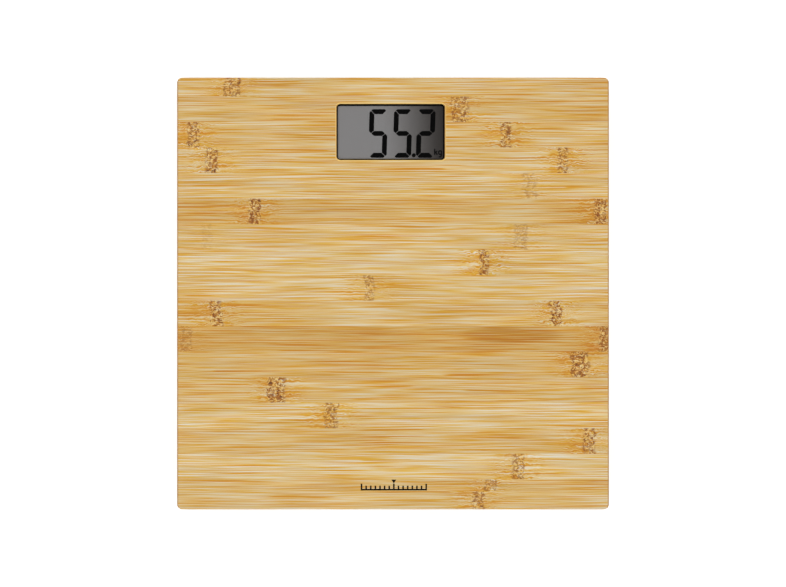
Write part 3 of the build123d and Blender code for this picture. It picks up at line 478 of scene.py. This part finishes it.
def rubber(name, colour, tread=0.0):
    """Soft rubber: matt, dusty and finely grained, with low studs where a tread pitch in mm is given."""
    tree = Tree(name)
    dust = tree.mottle(6, detail=6.0, roughness=0.75)
    grit = tree.mottle(0.3, detail=2.0)
    dusty = scaled(colour, 0.7, 0.06)
    tree.set("Base Color", tree.mix(tree.range(dust, 0.45, 0.8, 0.0, 0.6), colour, dusty))
    tree.set("Roughness", tree.range(dust, 0.3, 0.8, 0.72, 0.9))
    tree.set("Sheen Weight", 0.15)
    relief = tree.times(grit, 0.15)
    if tread:
        x, y = tree.in_mm(tread)[:2]
        studs = tree.times(tree.math("PINGPONG", x, 1.0), tree.math("PINGPONG", y, 1.0))
        relief = tree.plus(relief, tree.range(studs, 0.2, 0.4))
    tree.bump(relief, 0.2 * MM, 0.5)
    return tree.material


def metal(name, colour, roughness=0.3, brush=(1.0, 30.0, 30.0)):
    """Metal with a little tarnish and fine scratches: brush is their count in 3 mm along X, Y and Z."""
    tree = Tree(name, Metallic=1.0)
    lines = tree.stretch(tree.place, tuple(count / (3 * MM) for count in brush))
    lines = tree.noise(lines, detail=3.0, roughness=0.6)
    tarnish = tree.mottle(5, detail=4.0, roughness=0.65)
    scratch = 0.35
    tree.set("Base Color", tree.mix(tree.range(tarnish, 0.4, 0.75, 0.0, 0.8), colour, scaled(colour, 0.72)))
    tree.set("Roughness", tree.range(lines, 0.3, 0.7, roughness * (1 - scratch), roughness * (1 + scratch)))
    tree.bump(lines, 0.01 * MM, 0.4)
    return tree.material


def circuit_board():
    """Green solder mask with copper tracks showing through it as a paler green."""
    tree = Tree("pcb_mask")
    x, y = tree.in_mm()[:2]
    blocks = tree.cells(tree.join(tree.over(x, 7.0), tree.over(y, 5.0), 0.0), output="Color")
    steer = tree.math("GREATER_THAN", tree.channels(blocks)[0], 0.5)
    lane = tree.plus(tree.times(steer, x), tree.times(tree.minus(1.0, steer), y))
    copper = tree.range(tree.math("PINGPONG", lane, 0.55), 0.24, 0.3)
    colour = tree.mix(copper, srgb(14, 74, 38), srgb(34, 108, 56))
    specks = tree.mottle(2)
    colour = tree.mix(tree.range(specks, 0.4, 0.7, 0.0, 0.25), colour, srgb(10, 52, 30))
    tree.set("Base Color", colour)
    tree.set("Roughness", tree.range(specks, 0.3, 0.7, 0.26, 0.38))
    tree.set("Coat Weight", 0.4)
    tree.bump(copper, 0.03 * MM, 0.5)
    return tree.material


# The display's painted shade: its grey along its length, from 0 at the left to 1 at the right, in screen
# values.
LCD_GREYS = [
    (0.00, 140),
    (0.43, 139),
    (0.50, 133),
    (0.60, 121),
    (0.70, 105),
    (0.80, 86),
    (0.90, 63),
    (1.00, 46),
]
LCD_SLANT = 0.06  # how far the shade leans: mm in X for each mm in Y


def lcd_grey(grey):
    """A grey of the display's painted shade, which turns a little warmer as it gets darker."""
    warmth = 142 - grey
    return srgb(grey, grey * 0.99 - warmth * 0.04, grey * 0.99 - warmth * 0.07)


def lcd_face():
    """Reflective grey polariser, with painted light: even at the left, and a painted shade that deepens
    towards the right.
    """
    tree = Tree("lcd_face", Roughness=0.55)
    x, y = tree.in_mm()[:2]
    ends = [corner.x / MM + LCD_SLANT * corner.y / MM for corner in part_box("lcd_front_glass")]
    # Painted shade: the base colour runs through LCD_GREYS from the display's left end to its right, leaning
    # by LCD_SLANT.
    fall = tree.range(tree.plus(x, tree.times(y, LCD_SLANT)), *ends)
    grain = tree.range(tree.mottle(0.25, detail=1.0), 0.3, 0.7, 0.0, 0.06)
    colour = tree.ramp(fall, [(place, lcd_grey(grey)) for place, grey in LCD_GREYS])
    tree.set("Base Color", tree.mix(grain, colour, srgb(60, 60, 60)))
    tree.set("Specular IOR Level", 0.2)
    return tree.material


def lens():
    """Clear acrylic: see-through, with a reflection that grows at grazing angles, from both of its sides."""
    tree = Tree("lens_clear")
    tree.nodes.remove(tree.shader)
    clear = tree.node("ShaderNodeBsdfTransparent")
    clear.inputs["Color"].default_value = (0.98, 0.98, 0.98, 1.0)
    gloss = tree.node("ShaderNodeBsdfGlossy")
    gloss.inputs["Roughness"].default_value = 0.03
    gloss.inputs["Color"].default_value = (1.0, 1.0, 1.0, 1.0)
    facing = tree.node("ShaderNodeLayerWeight")
    facing.inputs["Blend"].default_value = 0.5
    grazing = tree.math("POWER", facing.outputs["Facing"], 5.0)
    straight_on = 0.034
    tree.blend(tree.range(grazing, 0.0, 1.0, straight_on, 1.0), clear, gloss)
    return tree.material


def ink(name, colour):
    """A thin printed or switched layer, dense with a slight mottle."""
    tree = Tree(name)
    mottle = tree.mottle(0.8)
    tree.set("Base Color", tree.mix(tree.range(mottle, 0.4, 0.7), colour, scaled(colour, 1.0, 0.0015)))
    tree.set("Roughness", tree.range(mottle, 0.3, 0.7, 0.55, 0.65))
    tree.set("Specular IOR Level", 0.04)
    return tree.material


def cell_jacket():
    """An AAA cell's plain sleeve: a blue body with a pale ring and a copper-coloured positive end."""
    tree = Tree("cell_jacket", Metallic=0.35)
    x, y = tree.in_mm()[:2]
    (near_low, near_high), (far_low, far_high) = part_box("battery_1"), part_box("battery_2")
    middle = (near_low.x + far_high.x) / 2 / MM
    between = (near_high.y + far_low.y) / 2 / MM
    turn = tree.minus(1.0, tree.times(tree.math("GREATER_THAN", y, between), 2.0))
    along = tree.times(tree.minus(x, middle), turn)
    body = tree.range(tree.mottle(3, detail=4.0), 0.3, 0.7)
    blue = tree.mix(body, srgb(22, 62, 118), srgb(30, 74, 132))
    colour = tree.mix(tree.math("GREATER_THAN", along, 10.0), blue, srgb(190, 120, 60))
    ring = tree.math("LESS_THAN", tree.math("ABSOLUTE", tree.minus(along, 9.6)), 0.4)
    tree.set("Base Color", tree.mix(ring, colour, srgb(225, 225, 225)))
    tree.set("Roughness", tree.range(body, 0.0, 1.0, 0.26, 0.34))
    tree.bump(body, 0.01 * MM, 0.3)
    return tree.material


def layered_silicone():
    """A zebra strip: black and clear silicone in thin slices."""
    tree = Tree("zebra_rubber", Roughness=0.6)
    x = tree.in_mm()[0]
    slices = tree.range(tree.math("PINGPONG", x, 0.1), 0.04, 0.06)
    tree.set("Base Color", tree.mix(slices, srgb(30, 30, 32), srgb(196, 176, 168)))
    tree.set("Subsurface Weight", 0.05)
    return tree.material


def components():
    """The small parts on the circuit board: aluminium cans, a crystal and ceramic chips."""
    tree = Tree("component_finish", Metallic=0.6)
    random = tree.channels(tree.cells(tree.place, scale=1 / (4.2 * MM), output="Color"))[0]
    tints = [(0.0, srgb(176, 178, 180)), (0.5, srgb(150, 132, 104)), (0.8, srgb(40, 40, 44))]
    colour = tree.ramp(random, tints)
    grain = tree.mottle(0.6)
    tree.set("Base Color", tree.mix(tree.range(grain, 0.3, 0.7, 0.0, 0.2), colour, srgb(90, 90, 92)))
    tree.set("Roughness", tree.range(grain, 0.3, 0.7, 0.28, 0.42))
    tree.bump(grain, 0.01 * MM, 0.3)
    return tree.material


# Each sensor's three wires side by side: the share of the run's width at which each begins, and its colour.
WIRE_COLOURS = [(0.0, srgb(190, 30, 26)), (0.33, srgb(24, 24, 26)), (0.66, srgb(226, 226, 220))]
WIRES_HALF_WIDTH = 1.7  # of the run, in mm


def three_wires(corner):
    """Insulation for three wires side by side, each in its own colour."""
    tree = Tree(f"wire_insulation_{corner}")
    low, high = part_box(f"load_cell_{corner}")
    centre = (low + high) / 2
    direction = (wire_entry(corner) - centre).to_2d().normalized()
    x, y = tree.split(tree.place)[:2]
    offset = tree.plus(tree.times(tree.minus(x, centre.x), -direction.y / MM),
                       tree.times(tree.minus(y, centre.y), direction.x / MM))
    side = tree.range(offset, -WIRES_HALF_WIDTH, WIRES_HALF_WIDTH)
    colour = tree.ramp(side, WIRE_COLOURS, "CONSTANT")
    scuff = tree.mottle(2, detail=4.0)
    tree.set("Base Color", tree.mix(tree.range(scuff, 0.45, 0.8, 0.0, 0.3), colour, srgb(120, 116, 110)))
    tree.set("Roughness", tree.range(scuff, 0.3, 0.7, 0.4, 0.55))
    tree.bump(scuff, 0.01 * MM, 0.3)
    return tree.material


def wire_entry(corner):
    """Where a corner's wires leave their groove, taken from the far end of its cable cover."""
    low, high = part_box(f"cable_cover_{corner}")
    if "rear" in corner:
        return Vector((0.0, (low.y + high.y) / 2, 0.0))
    return Vector((high.x if "left" in corner else low.x, high.y, 0.0))


def dress(material, *names):
    """Gives CAD nodes their material."""
    for name in names:
        data = NODES[name].data
        data.materials.clear()
        data.materials.append(material)


def per_corner(stem):
    return [f"{stem}_{corner}" for corner in CORNERS]


BLACK = srgb(30, 30, 32)
dress(Bamboo().material, "bamboo_platform")
dress(moulded("housing_black", BLACK, grain=0.35, depth=0.03), "electronics_housing", "battery_door")
dress(moulded("cell_housing_black", BLACK, grain=0.3, depth=0.03), *per_corner("load_cell_housing"))
dress(moulded("foot_black", srgb(26, 26, 28), grain=0.25, roughness=0.48), *per_corner("foot"))
dress(moulded("cover_strip", srgb(34, 34, 36), grain=0.2, roughness=0.5), *per_corner("cable_cover"))
dress(moulded("frame_black", srgb(14, 14, 15), grain=0.2, roughness=0.6), "display_frame")
dress(moulded("button_grey", srgb(96, 98, 100), grain=0.2, roughness=0.5), "unit_button")
dress(moulded("switch_black", srgb(22, 22, 23), grain=0.15, roughness=0.5), "unit_switch")
dress(moulded("plunger_white", srgb(222, 221, 214), grain=0.15, roughness=0.5), "switch_plunger")
dress(moulded("glob_top", srgb(16, 16, 17), grain=1.2, roughness=0.25, depth=0.06), "controller_chip")
dress(rubber("pad_rubber", srgb(38, 38, 39), tread=1.1), *per_corner("foot_pad"))
dress(rubber("gauge_sealant", srgb(226, 226, 220)), *per_corner("strain_gauge"))
dress(rubber("lead_red", srgb(186, 24, 22)), "battery_lead_red")
dress(rubber("lead_black", srgb(24, 24, 25)), "battery_lead_black")
dress(ink("tape_black", srgb(6, 6, 6)), "lens_adhesive")
dress(metal("cell_steel", srgb(190, 190, 192), roughness=0.34), *per_corner("load_cell"))
dress(metal("screw_zinc", srgb(196, 198, 202), roughness=0.26, brush=(8, 8, 8)),
      "housing_screws", "pcb_screws", "foot_housing_screws", *per_corner("foot_screw"))
dress(metal("contact_nickel", srgb(214, 210, 200), roughness=0.2), "battery_contact_bridge",
      "battery_contact_positive", "battery_contact_negative", "battery_springs")
dress(circuit_board(), "main_pcb")
dress(components(), "pcb_components")
dress(layered_silicone(), "zebra_strips")
dress(cell_jacket(), "battery_1", "battery_2")
dress(lcd_face(), "lcd_front_glass")
dress(moulded("lcd_back", srgb(70, 72, 70), grain=0.2, roughness=0.3), "lcd_rear_glass")
dress(lens(), "lcd_lens")
for corner in CORNERS:
    dress(three_wires(corner), f"sensor_wires_{corner}")


# ---------------------------------------------------------------- thin shapes
def flat_piece(name, outlines, z, thickness, material):
    """A thin piece made of closed outlines in mm, its underside at height z in metres."""
    mesh = bpy.data.meshes.new(name)
    shape = bmesh.new()
    for outline in outlines:
        low, high = ([shape.verts.new((px * MM, py * MM, height)) for px, py in outline]
                     for height in (z, z + thickness))
        shape.faces.new(high)
        shape.faces.new(list(reversed(low)))
        for i in range(len(outline)):
            j = (i + 1) % len(outline)
            shape.faces.new((low[i], low[j], high[j], high[i]))
    bmesh.ops.recalc_face_normals(shape, faces=shape.faces)
    shape.to_mesh(mesh)
    shape.free()
    mesh.materials.append(material)
    piece = bpy.data.objects.new(name, mesh)
    bpy.context.scene.collection.objects.link(piece)
    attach(piece, "root")
    return piece


# ---------------------------------------------------------------- display segments
# Seven-segment digits, in mm. The segments' centre lines are CELL_WIDTH by 2 * CELL_HALF.
CELL_WIDTH = 9.4
CELL_HALF = 15.15
BAR = 3.4  # thickness of a segment
BAR_GAP = 0.24  # from a tip to the middle of the gap between two segments
MITRE = 1.0  # how far the outer corner between two segments is cut off
BLUNT = 0.3  # how far a tip is blunted
LEAN = math.tan(math.radians(1.7))
LIT = {"5": "afgcd", "2": "abged"}  # the segments that each digit lights, lettered in the usual order
DIGITS = [("5", -8.76), ("5", 8.28), ("2", 24.34)]  # digit and its centre right of the window's
DIGITS_Y = WINDOW_Y - 0.97
DOT_X, DOT_R = 16.5, 1.38  # the decimal point's centre right of the window's, and its radius
UNIT_X, UNIT_Y = 30.6, -15.7  # left end and base line of the unit sign, from the window's centre
UNIT_STROKE = 0.8
LCD_INK_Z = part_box("lcd_front_glass")[1].z + 0.01 * MM
LCD_INK_THICK = 0.03 * MM


def segment(name):
    """A segment's outline round its cell's centre, with mitred ends and blunt tips."""
    half = CELL_WIDTH / 2
    side = BAR / 2
    if name == "g":
        tip = half - BAR_GAP
        return [(-tip, BLUNT), (side - tip, side), (tip - side, side), (tip, BLUNT),
                (tip, -BLUNT), (tip - side, -side), (side - tip, -side), (-tip, -BLUNT)]
    if name in "ad":
        up = 1 if name == "a" else -1
        tip = half + side - MITRE - BAR_GAP
        outer = up * (CELL_HALF + side)
        return [(-tip + MITRE, outer), (tip - MITRE, outer), (tip, outer - up * MITRE),
                (tip - BAR + MITRE, outer - up * BAR), (BAR - MITRE - tip, outer - up * BAR),
                (-tip, outer - up * MITRE)]
    right = 1 if name in "bc" else -1
    up = 1 if name in "bf" else -1
    end = CELL_HALF + side - MITRE - BAR_GAP
    return [
        (right * (half + BLUNT), up * BAR_GAP),
        (right * (half - side), up * (side + BAR_GAP)),
        (right * (half - side), up * (end - BAR + MITRE)),
        (right * (half + side - MITRE), up * end),
        (right * (half + side), up * (end - MITRE)),
        (right * (half + side), up * (side - BLUNT + BAR_GAP)),
    ]


def placed(outline, x):
    """Leans an outline and puts it in the window, x mm right of the window's centre."""
    return [(WINDOW_X + x + px + py * LEAN, DIGITS_Y + py) for px, py in outline]


def circle(x, y, radius):
    steps = 24
    turns = [2 * math.pi * i / steps for i in range(steps)]
    return [(x + radius * math.cos(t), y + radius * math.sin(t)) for t in turns]


def reading():
    """The lit segments of the reading, and its decimal point."""
    segments = [placed(segment(name), x) for digit, x in DIGITS for name in LIT[digit]]
    return segments + [placed(circle(0.0, -CELL_HALF, DOT_R), DOT_X)]


def stroke(points, width):
    """A quad along each stretch of a run of points, reaching a quarter of its width past both ends."""
    quads = []
    for (ax, ay), (bx, by) in zip(points, points[1:]):
        length = math.hypot(bx - ax, by - ay)
        ex, ey = (bx - ax) / length * width / 4, (by - ay) / length * width / 4
        nx, ny = -2 * ey, 2 * ex
        quads.append([(ax - ex + nx, ay - ey + ny), (ax - ex - nx, ay - ey - ny),
                      (bx + ex - nx, by + ey - ny), (bx + ex + nx, by + ey + ny)])
    return quads


def unit_sign():
    """The small kg sign, from straight strokes."""
    k = [[(0.0, 0.0), (0.0, 3.9)], [(0.2, 1.2), (1.6, 2.6)], [(0.8, 1.6), (1.7, 0.0)]]
    g = [[(4.6, 2.6), (4.6, -0.9), (4.2, -1.5), (2.9, -1.5)],
         [(4.6, 0.2), (3.3, 0.2), (2.8, 0.8), (2.8, 2.0), (3.3, 2.6), (4.6, 2.6)]]
    quads = [quad for line in k + g for quad in stroke(line, UNIT_STROKE)]
    return [[(WINDOW_X + UNIT_X + px, WINDOW_Y + UNIT_Y + py) for px, py in quad] for quad in quads]


LCD_INK = ink("lcd_ink", srgb(2, 2, 2))
flat_piece("lcd_digits", reading(), LCD_INK_Z, LCD_INK_THICK, LCD_INK)
flat_piece("lcd_unit_sign", unit_sign(), LCD_INK_Z, LCD_INK_THICK, LCD_INK)


# ---------------------------------------------------------------- printed mark
# A plain row of scale ticks on a line, with a pointer above it, where such a board carries its print. In mm.
MARK_X, MARK_Y = 0.6, -133.0  # its middle, from the board's
MARK_LONG, MARK_TALL = 46.0, 7.5
MARK_LINE = 1.1
TICKS = 15
TICK_TALL, TICK_SHORT = 3.6, 2.2
POINTER_TALL, POINTER_HALF = 2.6, 1.7
MARK_SUNK, MARK_THICK = 0.004, 0.012  # the ink's underside lies this far below the board's face


def bar(left, low, right, high):
    return [(left, low), (right, low), (right, high), (left, high)]


def mark_outlines():
    left, low = MARK_X - MARK_LONG / 2, MARK_Y - MARK_TALL / 2
    foot = low + MARK_LINE
    shapes = [bar(left, low, left + MARK_LONG, foot)]
    for i in range(TICKS):
        x = left + i * (MARK_LONG - MARK_LINE) / (TICKS - 1)
        tall = TICK_TALL if i % (TICKS // 2) == 0 else TICK_SHORT
        shapes.append(bar(x, foot, x + MARK_LINE, foot + tall))
    top = low + MARK_TALL
    shapes.append([(MARK_X, top - POINTER_TALL), (MARK_X + POINTER_HALF, top), (MARK_X - POINTER_HALF, top)])
    return shapes


MARK_Z = BOARD_HIGH.z - MARK_SUNK * MM
MARK_INK = ink("mark_ink", srgb(14, 12, 11))
flat_piece("printed_mark", mark_outlines(), MARK_Z, MARK_THICK * MM, MARK_INK)


# ---------------------------------------------------------------- studio
FLOOR_REACH = 3.0  # metres from the middle to each edge
FLOOR_Z = -0.05 * MM
FLOOR_WHITE = 0.93
FLOOR_GLOW = 0.45
BOXES = 4
BOX_ELEVATION = 54.0  # degrees
BOX_DISTANCE, BOX_SIZE = 2.0, 0.9  # metres
BOX_WATTS = 10.8
WORLD_STRENGTH = 0.345
WALLS, OVERHEAD = (0.55, 0.95), (0.92, 0.02)  # where the sky's ramp begins and ends, and its white there
CAMERA_LENS = 180.0
VIEW_WIDTH = 0.5458  # metres across the picture at the board's top


def floor():
    """A plain pale floor just under the pads. Its lower face is clear, so the underside shows from below."""
    mesh = bpy.data.meshes.new("floor")
    turns = ((-1, -1), (1, -1), (1, 1), (-1, 1))
    mesh.from_pydata([(x * FLOOR_REACH, y * FLOOR_REACH, FLOOR_Z) for x, y in turns], [], [(0, 1, 2, 3)])
    surface = bpy.data.objects.new("floor", mesh)
    bpy.context.scene.collection.objects.link(surface)
    tree = Tree("floor_white", Roughness=0.9)
    tree.set("Base Color", (FLOOR_WHITE, FLOOR_WHITE, FLOOR_WHITE, 1.0))
    tree.set("Emission Color", (1.0, 1.0, 1.0, 1.0))
    tree.set("Emission Strength", FLOOR_GLOW)
    tree.set("Specular IOR Level", 0.0)
    underneath = tree.node("ShaderNodeNewGeometry").outputs["Backfacing"]
    tree.blend(underneath, tree.shader, tree.node("ShaderNodeBsdfTransparent"))
    mesh.materials.append(tree.material)


def softbox(name, azimuth):
    """A square area light aimed at the object, its azimuth in degrees from the front."""
    light = bpy.data.lights.new(name, "AREA")
    light.shape = "SQUARE"
    light.size = BOX_SIZE
    light.energy = BOX_WATTS
    a, e = math.radians(azimuth), math.radians(BOX_ELEVATION)
    direction = Vector((math.sin(a) * math.cos(e), -math.cos(a) * math.cos(e), math.sin(e)))
    lamp = bpy.data.objects.new(name, light)
    lamp.location = direction * BOX_DISTANCE
    lamp.rotation_euler = (-direction).to_track_quat("-Z", "Y").to_euler()
    lamp.visible_camera = False
    bpy.context.scene.collection.objects.link(lamp)


def surroundings():
    """White walls that darken overhead, so that flat glossy faces stay deep from above."""
    world = bpy.data.worlds.new("studio")
    world.use_nodes = True
    bpy.context.scene.world = world
    nodes, links = world.node_tree.nodes, world.node_tree.links
    direction = nodes.new("ShaderNodeTexCoord")
    parts = nodes.new("ShaderNodeSeparateXYZ")
    links.new(direction.outputs["Generated"], parts.inputs[0])
    ramp = nodes.new("ShaderNodeValToRGB")
    for element, (position, white) in zip(ramp.color_ramp.elements, (WALLS, OVERHEAD)):
        element.position = position
        element.color = (white, white, white, 1.0)
    links.new(parts.outputs["Z"], ramp.inputs[0])
    links.new(ramp.outputs["Color"], nodes["Background"].inputs["Color"])
    nodes["Background"].inputs["Strength"].default_value = WORLD_STRENGTH


def camera():
    """Straight above the board, far off with a long lens."""
    data = bpy.data.cameras.new("camera")
    data.lens = CAMERA_LENS
    data.clip_end = 20.0
    distance = VIEW_WIDTH * data.lens / data.sensor_width
    eye = bpy.data.objects.new("camera", data)
    eye.location = (0.0, 0.0, BOARD_HIGH.z + distance)
    bpy.context.scene.collection.objects.link(eye)
    bpy.context.scene.camera = eye


floor()
for number in range(BOXES):
    softbox(f"softbox_{number}", (number + 0.5) * 360 / BOXES)
surroundings()
camera()
bpy.context.scene.view_settings.view_transform = "Standard"
